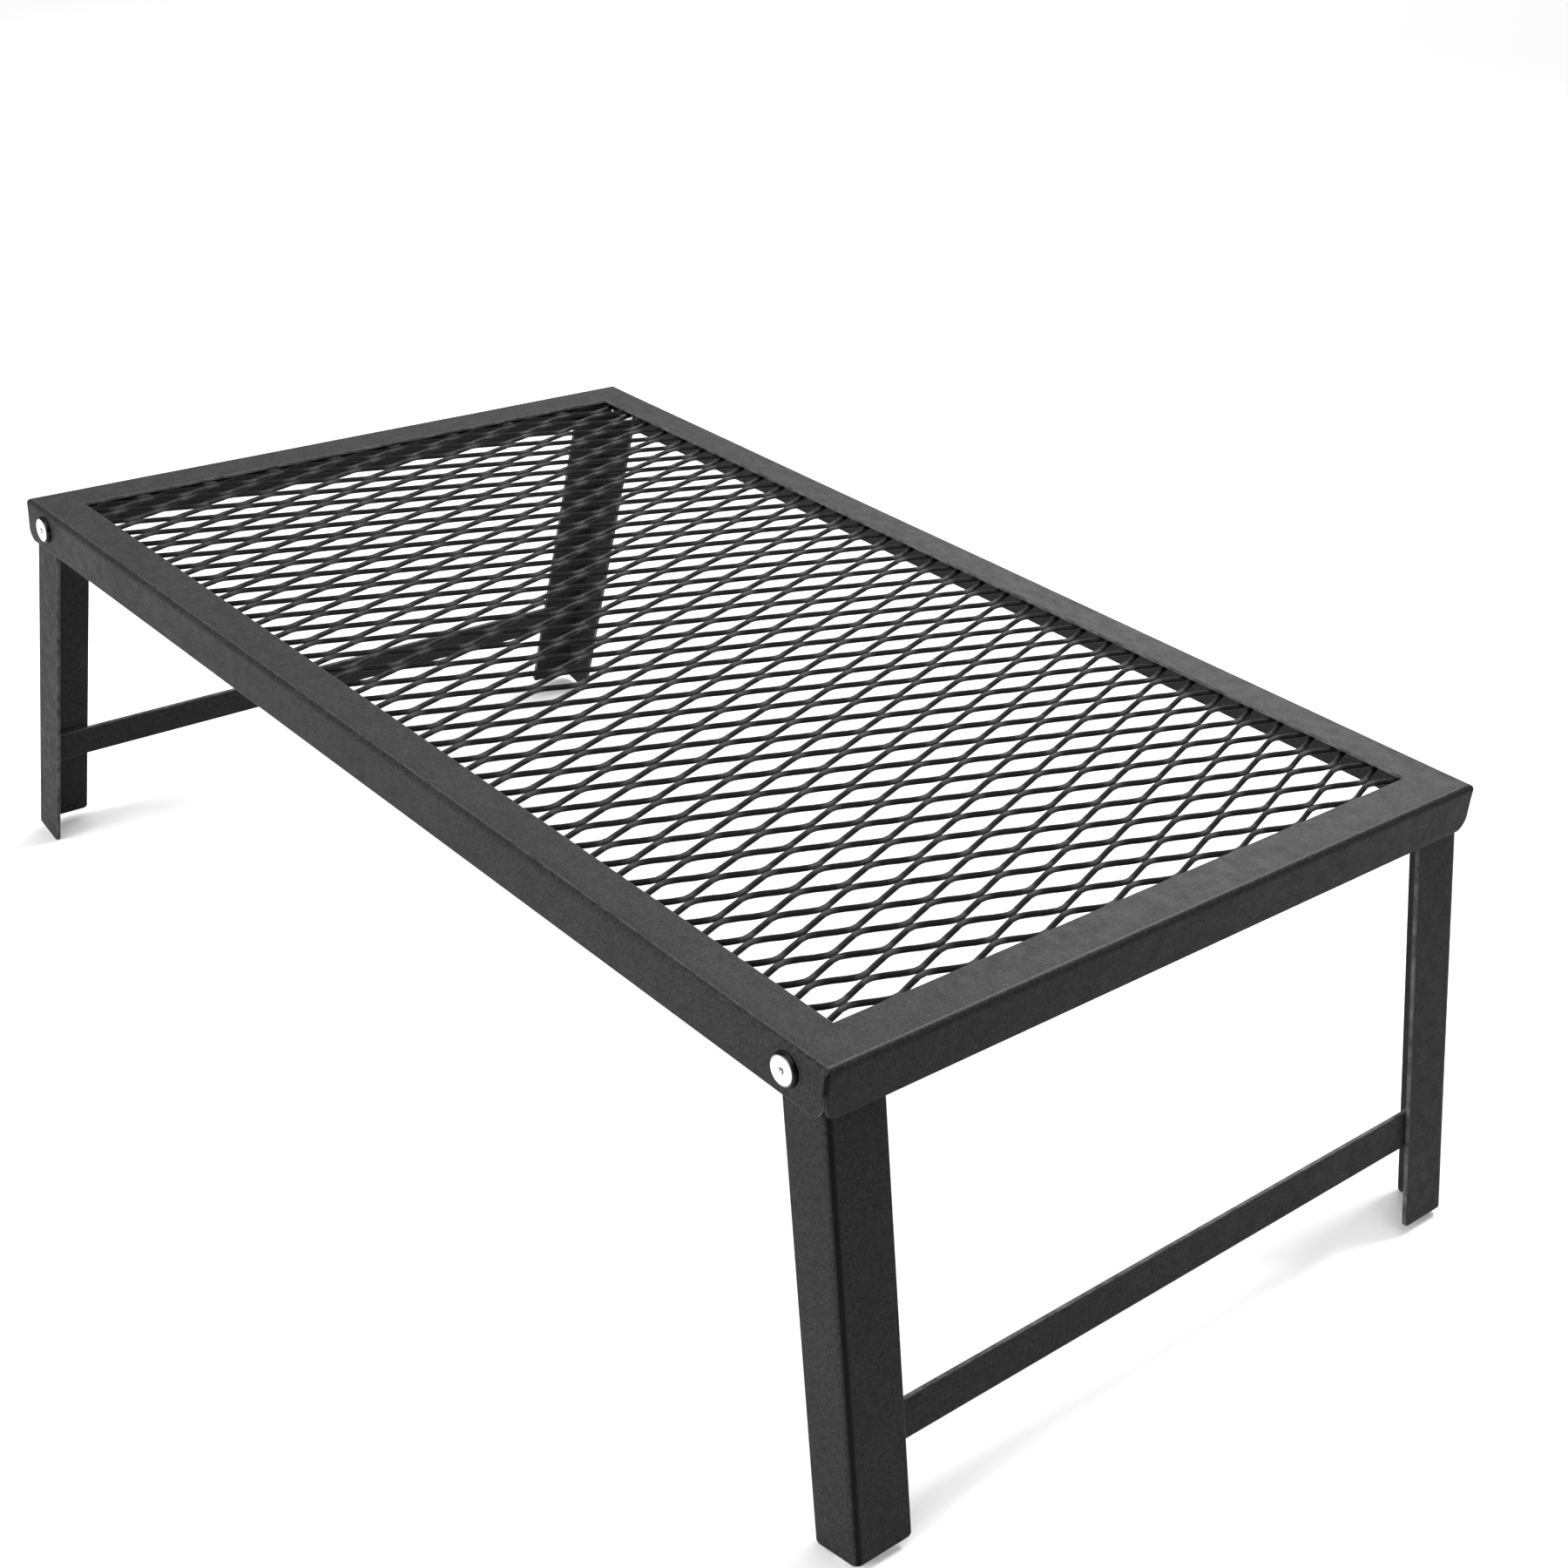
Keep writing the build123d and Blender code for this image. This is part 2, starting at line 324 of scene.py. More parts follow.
@dataclass(frozen=True)
class AngleSection:
    """Section of a formed angle, from the free edge of one flange round the bend to the other's.

    The outer corner of the flats is at the origin: the first flange runs along +p, the second along -q.

    Attributes:
        across: Width of the first flange.
        down: Depth of the second flange.
        sheet: Thickness of the sheet.
        bend: Outside radius of the bend.
        lip: Radius of the rounded cut edges.
    """

    across: float
    down: float
    sheet: float
    bend: float
    lip: float = 0.35 * MM

    def marks(self, first: Grid, second: Grid, turns: int = 8) -> tuple[Grid, Grid, Grid]:
        """Outer line of the section at chosen points.

        The flats are straight, and the bend is (b - b cos a, -b + b sin a) for a from 90 to 0 degrees.

        Args:
            first: Distances from the first flange's free edge at which it has points.
            second: Distances from the second flange's free edge, likewise.
            turns: Steps round the bend.

        Returns:
            Outer points, their unit normals pointing out, and each point's distance from the nearest
            free edge.
        """
        b = self.bend
        p1 = self.across - first
        q2 = -self.down + second[::-1]
        angle = np.linspace(pi / 2, 0, turns + 1)
        points = np.concatenate([
            np.stack([p1, np.zeros_like(p1)], -1),
            np.stack([b - b * np.cos(angle), -b + b * np.sin(angle)], -1),
            np.stack([np.zeros_like(q2), q2], -1),
        ])
        normals = np.concatenate([
            np.tile([0.0, 1.0], (len(p1), 1)),
            np.stack([-np.cos(angle), np.sin(angle)], -1),
            np.tile([-1.0, 0.0], (len(q2), 1)),
        ])
        edge = np.concatenate([first, np.full(turns + 1, self.bend * 9), second[::-1]])
        return points, normals, edge

    def bend_painted_light(self, normals: Grid) -> Grid:
        """Painted light round the bend: a painted highlight near the first flange, and a painted shade line,
        below 0, near the second.

        Each is a bell curve over the normal's angle from the first flange's, in degrees.
        """
        highlight_at, highlight_over, painted_shade_at, painted_shade_over, painted_shade = 20, 14, 68, 26, 1.3
        turn = np.degrees(np.arctan2(np.abs(normals[:, 0]), np.abs(normals[:, 1])))
        marks = (np.exp(-((turn - highlight_at) / highlight_over) ** 2)
                 - painted_shade * np.exp(-((turn - painted_shade_at) / painted_shade_over) ** 2))
        on_bend = np.abs(normals[:, 0] * normals[:, 1]) > 1e-6
        return marks * on_bend


class Shader:
    """A material under construction, with short names for the nodes that the finishes use."""

    def __init__(self, name: str) -> None:
        """Start an empty node material.

        Args:
            name: Name of the material.
        """
        self.material = bpy.data.materials.new(name)
        self.material.use_nodes = True
        self.tree = self.material.node_tree
        self.tree.nodes.clear()
        self.output = self.tree.nodes.new("ShaderNodeOutputMaterial")
        self.surface = self.tree.nodes.new("ShaderNodeBsdfPrincipled")
        self.tree.links.new(self.surface.outputs["BSDF"], self.output.inputs["Surface"])
        self.place = self.tree.nodes.new("ShaderNodeTexCoord").outputs["Object"]

    def link(self, source: Socket, target: Socket) -> None:
        """Join two sockets."""
        self.tree.links.new(source, target)

    def node(self, kind: str, values: dict, **settings: str) -> bpy.types.Node:
        """Add a node and set or feed its inputs.

        Args:
            kind: Kind of node, without Blender's prefix.
            values: For each input, by name or number, a value or the socket that feeds it.
            **settings: The node's own settings, made first.

        Returns:
            The node.
        """
        made = self.tree.nodes.new("ShaderNode" + kind)
        for key, setting in settings.items():
            setattr(made, key, setting)
        for key, value in values.items():
            if isinstance(value, Socket):
                self.link(value, made.inputs[key])
            else:
                made.inputs[key].default_value = value
        return made

    def noise(self, scale: float, detail: float = 2.0, roughness: float = 0.5,
              stretch: Triple = (1, 1, 1)) -> Socket:
        """Noise on the object's own coordinates.

        Args:
            scale: Waves a metre.
            detail: Octaves.
            roughness: Strength of the finer octaves.
            stretch: Scale along each axis.

        Returns:
            The noise value socket.
        """
        placed = self.node("Mapping", {"Scale": stretch, "Vector": self.place}).outputs["Vector"]
        values = {"Scale": scale, "Detail": detail, "Roughness": roughness, "Vector": placed}
        return self.node("TexNoise", values).outputs["Fac"]

    def wear(self) -> Socket:
        """The piece's own attribute of wear and painted light."""
        return self.node("Attribute", {}, attribute_name="wear").outputs["Fac"]

    def spread(self, value: Socket, low: float, high: float, to_low: float = 0.0,
               to_high: float = 1.0) -> Socket:
        """Map a range of a value onto another, clamped."""
        values = {"From Min": low, "From Max": high, "To Min": to_low, "To Max": to_high, "Value": value}
        return self.node("MapRange", values).outputs["Result"]

    def times(self, a: Socket, b: Socket) -> Socket:
        """Product of two values."""
        return self.node("Math", {0: a, 1: b}, operation="MULTIPLY").outputs["Value"]

    def blend(self, share: Socket, a: Tint, b: Tint) -> Socket:
        """Mix two colours.

        Args:
            share: 0 for the first colour, 1 for the second.
            a: A colour or a colour socket.
            b: A colour or a colour socket.

        Returns:
            The mixed colour.
        """
        first, second = ((*tint, 1.0) if isinstance(tint, tuple) else tint for tint in (a, b))
        return self.node("Mix", {"Factor": share, 6: first, 7: second}, data_type="RGBA").outputs[2]

    def bump(self, layers: list[tuple[Socket, float, float]]) -> None:
        """Chain bumps into the surface's normal.

        Args:
            layers: Height socket, strength and depth in metres of each layer.
        """
        chained = {}
        for height, strength, depth in layers:
            values = {"Strength": strength, "Distance": depth, "Height": height, **chained}
            chained = {"Normal": self.node("Bump", values).outputs["Normal"]}
        self.link(chained["Normal"], self.surface.inputs["Normal"])


@dataclass(frozen=True)
class PowderCoat:
    """Black satin powder coat: fine orange peel, a sandy grain, faint mottling, rubbed edges, and painted
    highlight and painted shade along the bends.

    Attributes:
        name: Name of the material.
        coat: Colour of the coat.
        mottle: Colour of its lighter patches.
        painted_shade: Colour of the painted shade in the line below a bend and beside the corner seams.
        rubbed: Colour where edges are rubbed, and of the painted highlights along the bends, the grate's
            bonds and the weld ripples.
        smooth: Lowest roughness.
        rough: Highest roughness.
        gloss: Specular level.
        peel: Strength of the orange peel.
        grain: Strength of the sandy grain.
    """

    name: str
    coat: Triple = (0.0065, 0.0065, 0.0067)
    mottle: Triple = (0.020, 0.020, 0.0204)
    painted_shade: Triple = (0.0012, 0.0012, 0.0012)
    rubbed: Triple = (0.075, 0.075, 0.077)
    smooth: float = 0.40
    rough: float = 0.56
    gloss: float = 0.07
    peel: float = 0.35
    grain: float = 0.5

    def build(self) -> Finish:
        """Build the node material.

        Returns:
            The material.
        """
        s = Shader(self.name)
        peel = s.noise(760, 3.0, 0.6)
        grain = s.noise(1900, 3.0, 0.7)
        cloud = s.noise(28, 4.0, 0.6)
        patch = s.noise(170, 3.0, 0.65)
        # share of rubbed edges and of the painted highlights along bends, bonds and weld ripples
        worn_and_painted_light = s.times(s.spread(s.wear(), 0.35, 1.0), s.spread(patch, 0.36, 0.66, 0.25, 1.0))
        speck = s.spread(grain, 0.55, 0.7, 0.0, 0.8)
        tone = s.times(s.spread(peel, 0.36, 0.64), s.spread(cloud, 0.3, 0.7, 0.55, 1.0))
        colour = s.blend(tone, self.coat, self.mottle)
        colour = s.blend(speck, colour, tuple(1.9 * c for c in self.mottle))
        # painted shade: the dark line below a bend and beside the corner seams
        painted_shade_share = s.spread(s.wear(), -0.8, -0.15, 1.0, 0.0)
        colour = s.blend(painted_shade_share, colour, self.painted_shade)
        s.link(s.blend(worn_and_painted_light, colour, self.rubbed), s.surface.inputs["Base Color"])
        polish = s.times(s.spread(worn_and_painted_light, 0.0, 1.0, 1.0, 0.65), s.spread(painted_shade_share, 0.0, 1.0, 1.0, 0.5))
        s.link(s.times(s.spread(patch, 0.3, 0.72, self.smooth, self.rough), polish),
               s.surface.inputs["Roughness"])
        s.surface.inputs["Specular IOR Level"].default_value = self.gloss
        s.bump([(peel, self.peel, 0.18 * MM), (grain, self.grain, 0.06 * MM)])
        return s.material


@dataclass(frozen=True)
class BrightSteel:
    """Bright plated steel of the rivets: turned rings, faint scratches, and painted shade that darkens the
    dimple and the rim.

    Attributes:
        name: Name of the material.
        bright: Colour of the plate.
        dull: Colour where it is scuffed.
        smooth: Lowest roughness.
        rough: Highest roughness.
    """

    name: str
    bright: Triple = (0.90, 0.90, 0.91)
    dull: Triple = (0.60, 0.60, 0.62)
    smooth: float = 0.22
    rough: float = 0.42

    def build(self) -> Finish:
        """Build the node material.

        Returns:
            The material.
        """
        s = Shader(self.name)
        scuff = s.noise(420, 4.0, 0.7)
        fine = s.noise(3200, 2.0, 0.6, (1.0, 1.0, 0.25))
        colour = s.blend(s.spread(scuff, 0.35, 0.75), self.bright, self.dull)
        # painted shade: the attribute darkens the rivet's dimple and the rim round its head; the washers'
        # rolled rims are darker too
        s.link(s.blend(s.wear(), colour, (0.015, 0.015, 0.015)), s.surface.inputs["Base Color"])
        s.link(s.spread(scuff, 0.3, 0.7, self.smooth, self.rough), s.surface.inputs["Roughness"])
        s.surface.inputs["Metallic"].default_value = 1.0
        s.bump([(scuff, 0.12, 0.05 * MM), (fine, 0.2, 0.02 * MM)])
        return s.material


def weld_bead(length: float, radius: float, seed: int, ripple: float = 1.3 * MM) -> Skin:
    """Quarter-round weld bead along Y, in the corner between +X and -Z at the origin.

    Its radius is r (1 - |s|^6)^0.5 (0.86 + 0.14 cos^2(pi y / ripple + bow)), with s from -1 to 1 along
    the bead, so it dies away at both ends and has the bowed ripples that the torch leaves.

    Args:
        length: Length of the bead.
        radius: Its greatest radius.
        seed: Seed of its small unevenness.
        ripple: Distance from ripple to ripple.

    Returns:
        The closed skin.
    """
    rng = np.random.default_rng(seed)
    per_ripple = 5
    stations = max(9, int(length / ripple * per_ripple) + 1)
    s = np.linspace(-1, 1, stations)[:, None]
    around = 9
    a = np.linspace(0, pi / 2, around)[None, :]
    bow = 0.8 * np.sin(2 * a)
    wave = np.cos(pi * s * length / 2 / ripple + bow + rng.uniform(0, pi)) ** 2
    slow = 1 - 0.05 * (1 + np.sin(3.1 * s + rng.uniform(0, 2 * pi)))
    size = radius * np.sqrt(np.maximum(1 - np.abs(s) ** 6, 0.03)) * (0.86 + 0.14 * wave) * slow
    y = np.broadcast_to(s * length / 2, size.shape)
    curve = np.stack([size * np.cos(a), y, -size * np.sin(a)], -1)
    corner = np.stack([np.zeros(stations), s[:, 0] * length / 2, np.zeros(stations)], -1)[:, None]
    rings = np.concatenate([curve, corner], 1)
    # painted highlight on the ripple crests, along the middle of the bead
    wear = np.concatenate([0.45 * wave * np.sin(2 * a), np.zeros((stations, 1))], 1)
    return swept(rings, wear)


@dataclass
class TopFrame:
    """Four rails of formed angle, mitred and welded at the corners.

    Attributes:
        length: Over the end rails.
        width: Over the long rails.
        top: Height of the top face.
        section: Section of a rail, top flange first.
        corner: Radius of a skirt's lower corner at each end.
        bead: Radius of the corner welds.
        bead_top: Top face to the top of a corner weld.
        seam: Radius of the rounding on each side of a corner seam.
        gap: Skirt's end to the true mitre, so half of the open seam.
        dent: Depth of the slow waves in the faces.
        seam_shade: Reach of the painted shade beside a corner seam.
    """

    length: float
    width: float
    top: float
    section: AngleSection
    corner: float = 6.0 * MM
    bead: float = 1.5 * MM
    bead_top: float = 4.0 * MM
    seam: float = 0.7 * MM
    gap: float = 0.5 * MM
    dent: float = 0.10 * MM
    seam_shade: float = 1.0 * MM

    def rail(self, length: float, across: float, seed: int) -> Skin:
        """Front rail of the given length, its outer face at y = -across.

        A point of the section at (p, q) runs along X from -e to e, where e is half the length less p,
        for the mitre, and less the round of the skirt's lower corner. The face is drawn back into a
        groove beside the corner seam, and dips by slow waves up to the dent along its length.

        Args:
            length: Length over the outer faces.
            across: Distance of the outer face from the middle.
            seed: Seed of the slow waves.

        Returns:
            The closed skin.
        """
        sec, r = self.section, self.corner
        edge = edge_marks(sec.lip)
        flat = np.append(edge, np.linspace(0.3, 1.0, 6)[:-1] * (sec.across - sec.bend))
        rounds = r * (1 - np.cos(np.linspace(0.32, pi / 2, 7)))
        skirt = np.concatenate([edge, rounds, [0.6 * sec.down, sec.down - sec.bend - 0.6 * MM]])
        skirt = np.sort(skirt)
        points, normals, free = sec.marks(flat, skirt)
        faces = []
        half = length / 2
        rng = np.random.default_rng(seed)
        phase = rng.uniform(0, 2 * pi, 4)
        for depth in (0.0, sec.sheet):
            sign = 1 if depth == 0 else -1
            line = points - normals * depth
            p, q = line[:, 0], line[:, 1]
            low = np.clip(r - (points[:, 1] + sec.down), 0, r)
            skirted = np.clip((-q - 0.3 * sec.bend) / sec.bend, 0, 1)
            reach = half - np.maximum(p, 0) - (r - np.sqrt(r * r - low * low)) - self.gap * skirted
            near = np.array([0, 0.12, 0.35, 0.75, 1.2, 2.0, 3.2, 5.0, 8.0, 14.0]) * MM
            share = np.linspace(0, 1, 36)[1:-1, None]
            left = -reach[None, :] + near[:, None]
            middle = left[-1] + share * (-2 * left[-1])
            x = np.concatenate([left, middle, -left[::-1]])
            end = reach[None, :] - np.abs(x)
            cut = np.where(low > 0, sec.lip, self.seam * skirted)
            groove = lip_drop(end, self.seam) * np.minimum(cut / self.seam, 1)
            drop = np.maximum(lip_drop(np.broadcast_to(free, x.shape), sec.lip), groove)
            wave = 0.5 + 0.25 * np.sin(9.0 * x / half + phase[0]) + 0.25 * np.sin(4.1 * x / half + phase[1])
            dent = self.dent * wave * np.clip(free / sec.across * 2, 0, 1) * np.clip(end / (20 * MM), 0, 1)
            back = (sign * drop + dent)[..., None]
            profile = line[None] - normals[None] * back
            faces.append(np.stack([x, profile[..., 0] - across, profile[..., 1] + self.top], -1))
        # painted highlight and painted shade along the bend, rubbed free edges and skirt corners
        bend = sec.bend_painted_light(normals)[None, :]
        rub_and_painted_light = np.where(bend < 0, bend, np.maximum(rubbed(free, 2.2 * sec.lip)[None, :], 0.75 * bend))
        rub_and_painted_light = np.maximum(np.broadcast_to(rub_and_painted_light, end.shape), 0.8 * rubbed(end, 1.6 * MM) * (low > 0))
        # painted shade in the corner seam, beside the open gap
        rub_and_painted_light = np.where((end < self.seam_shade) & (low == 0) & (skirted > 0.5), -1.0, rub_and_painted_light)
        return plate(faces[0], faces[1], rub_and_painted_light)

    def build(self, coat: Finish, weld: Finish) -> None:
        """Make the four rails and the four corner welds.

        Args:
            coat: Finish of the rails.
            weld: Finish of the welds.
        """
        quarter = pi / 2
        length, across = self.length, self.width
        for turns, side in enumerate(("front_long", "right_end", "rear_long", "left_end")):
            skin = self.rail(length, across / 2, 11 + turns).moved(Matrix.Rotation(turns * quarter, 4, "Z"))
            piece(f"{side}_rail_formed", skin, coat, "frame", "frame_steel", f"{side}_rail")
            length, across = across, length
        height = self.section.down - self.corner - self.bead_top
        middle = self.top - self.bead_top - height / 2
        inside = self.section.sheet
        upright = Matrix.Rotation(-quarter, 4, "X")
        beads = []
        for number, (sx, sy) in enumerate(((1, -1), (1, 1), (-1, 1), (-1, -1))):
            bead = weld_bead(height, self.bead, 31 + number).moved(upright)
            flip = Matrix.Diagonal((-sx, sy, 1, 1))
            spot = Vector((sx * (self.length / 2 - inside), sy * (self.width / 2 - inside), middle))
            beads.append(bead.moved(Matrix.Translation(spot) @ flip))
        piece("corner_welds_laid", joined(beads), weld, "frame", "painted_weld", "corner_welds")


@dataclass
class Grate:
    """Raised expanded metal: slit strands that zigzag along Y and meet their neighbours in tilted bonds.

    Attributes:
        length: Along X.
        width: Along Y.
        top: Height of the highest strand edges.
        depth: Height of the strands over all.
        short_pitch: Diamond pitch along X.
        long_pitch: Diamond pitch along Y.
        strand: Width of a strand in its own plane.
        sheet: Thickness of the sheet.
        bond: Length of a bond.
        lean: How far a strand bows sideways between bonds.
        twist: Extra tilt of a strand half way between bonds, in degrees.
        softness: Share of the sine that softens the ramp from bond to bond.
        chamfer: Broken edge of a strand.
        stray: Spread of the cutter's small errors.
        bead: Radius of the welds to the flange.
        bead_length: Length of one of them.
        beads_long: Welds along each long side.
        beads_end: Welds along each end.
    """

    length: float
    width: float
    top: float
    depth: float = 3.0 * MM
    short_pitch: float = 16.0 * MM
    long_pitch: float = 35.0 * MM
    strand: float = 2.2 * MM
    sheet: float = 1.1 * MM
    bond: float = 3.6 * MM
    lean: float = 0.22 * MM
    twist: float = 26.0
    softness: float = 0.2
    chamfer: float = 0.28 * MM
    stray: float = 0.05 * MM
    bead: float = 2.2 * MM
    bead_length: float = 10.0 * MM
    beads_long: int = 8
    beads_end: int = 4

    def tilt(self) -> float:
        """Tilt of a bond from the level: two strands and the sheet's edge stand as high as the depth."""
        angles = np.radians(np.linspace(10, 60, 501))
        high = 2 * self.strand * np.sin(angles) + self.sheet * np.cos(angles)
        return float(angles[np.argmin(np.abs(high - self.depth))])

    def strands(self) -> Skin:
        """All the strands as one skin.

        Strand m follows x = 4 + 8 m plus or minus the swing, in millimetres, as y goes from bond to bond.
        The rise is a ramp softened by a sine, S(t) = t - b sin(2 pi t) / (2 pi), and level in the bonds.
        The strand is high where it bonds to the strand on its right and low where it bonds to the one on
        its left, its section is tilted as the bonds are, and it twists a little more between them.

        Returns:
            The closed skin.
        """
        half_x, half_y = self.short_pitch / 2, self.long_pitch / 2
        tilt = self.tilt()
        reach = self.strand / 2 * cos(tilt)
        count = int(self.length / 2 / half_x + 0.5)
        strand = np.arange(-count, count)
        rows = int(np.ceil(self.width / 2 / half_y))
        marks = np.array([0, 0.09, 0.15, 0.22, 0.38, 0.62, 0.78, 0.85, 0.91])
        t = np.append((np.arange(-rows, rows)[:, None] + marks).ravel(), rows)
        limit = self.width / 2 / half_y
        t = np.unique(np.clip(t, -limit, limit))
        step = np.floor(t)
        share = t - step
        level = self.bond / 2 / half_y * 0.8
        ramp = np.clip((share - level) / (1 - 2 * level), 0, 1)
        soft = ramp - self.softness * np.sin(2 * pi * ramp) / (2 * pi)
        parity = (step[None, :] + strand[:, None]) % 2
        rise = np.where(parity == 0, soft[None, :], 1 - soft[None, :])
        swing = half_x / 2 - reach
        jitter = np.random.default_rng(5).normal(0, self.stray, (len(strand), len(t)))
        jitter = (jitter + np.roll(jitter, 1, 1) + np.roll(jitter, 1, 0)) / 3
        # rise is 1 where the strand is high, beside its right-hand neighbour
        x = (strand[:, None] + 0.5) * half_x - swing + 2 * swing * rise + jitter
        x = x - self.lean * np.sin(2 * pi * share)[None, :]
        x = np.clip(x, -self.length / 2 + reach, self.length / 2 - reach)
        y = np.broadcast_to(t * half_y, x.shape)
        z = self.top - self.depth / 2 + (rise - 0.5) * self.strand * sin(tilt)
        twist = tilt + radians(self.twist) * np.sin(pi * ramp)[None, :] * np.ones_like(x)
        # section: a flat bar with small chamfers, u across the strand and v through the sheet
        w, h, c = self.strand / 2, self.sheet / 2, self.chamfer
        u = np.array([-w + c, w - c, w, w, w - c, -w + c, -w, -w])
        v = np.array([h, h, h - c, -h + c, -h, -h, -h + c, h - c])
        slant = np.gradient(x, axis=1) / np.gradient(y, axis=1)
        squeeze = 1 / np.sqrt(1 + slant**2)
        across = np.stack([np.cos(twist), -slant * squeeze**2 * np.cos(twist), -np.sin(twist)], -1)
        through = np.stack([np.sin(twist), np.zeros_like(x), np.cos(twist)], -1)
        centre = np.stack([x, y, z], -1)
        ring = centre[:, :, None] + across[:, :, None] * u[:, None] + through[:, :, None] * v[:, None]
        # upper faces near the bonds: partly rubbed, partly a painted highlight
        worn_and_painted_light = np.where(v > 0, 0.55, 0.0) * np.ones(ring.shape[:3])
        worn_and_painted_light = worn_and_painted_light * np.abs(np.cos(pi * np.clip(ramp, 0, 1)))[None, :, None] ** 2
        one = swept(ring[0], worn_and_painted_light[0]).faces
        shift = np.arange(len(strand))[:, None, None] * len(t) * len(u)
        faces: list[Face] = []
        for part in (one[:-2], one[-2:-1], one[-1:]):
            faces += map(tuple, (np.array(part) + shift).reshape(-1, len(part[0])).tolist())
        return Skin(ring.reshape(-1, 3), faces, worn_and_painted_light.ravel())

    def welds(self) -> Skin:
        """Short beads between the edge of the grate and the underside of the flange.

        Returns:
            The closed skin of all the beads.
        """
        beads = []
        seed = 61
        quarter = pi / 2
        for turns in range(4):
            ends = turns % 2 == 0
            count, span, out = (
                (self.beads_end, self.width, self.length / 2) if ends
                else (self.beads_long, self.length, self.width / 2)
            )
            turn = Matrix.Rotation(turns * quarter, 4, "Z")
            for number in range(count):
                along = span * ((number + 0.5) / count - 0.5)
                seed += 1
                bead = weld_bead(self.bead_length, self.bead, seed)
                beads.append(bead.moved(turn @ Matrix.Translation((out, along, self.top))))
        return joined(beads)

    def build(self, coat: Finish, weld: Finish) -> None:
        """Make the grate and its welds.

        Args:
            coat: Finish of the strands.
            weld: Finish of the welds.
        """
        piece("grate_expanded", self.strands(), coat, "frame", "grate_steel", "mesh_panel", sharp=70)
        piece("grate_welds_laid", self.welds(), weld, "frame", "painted_weld", "mesh_welds")


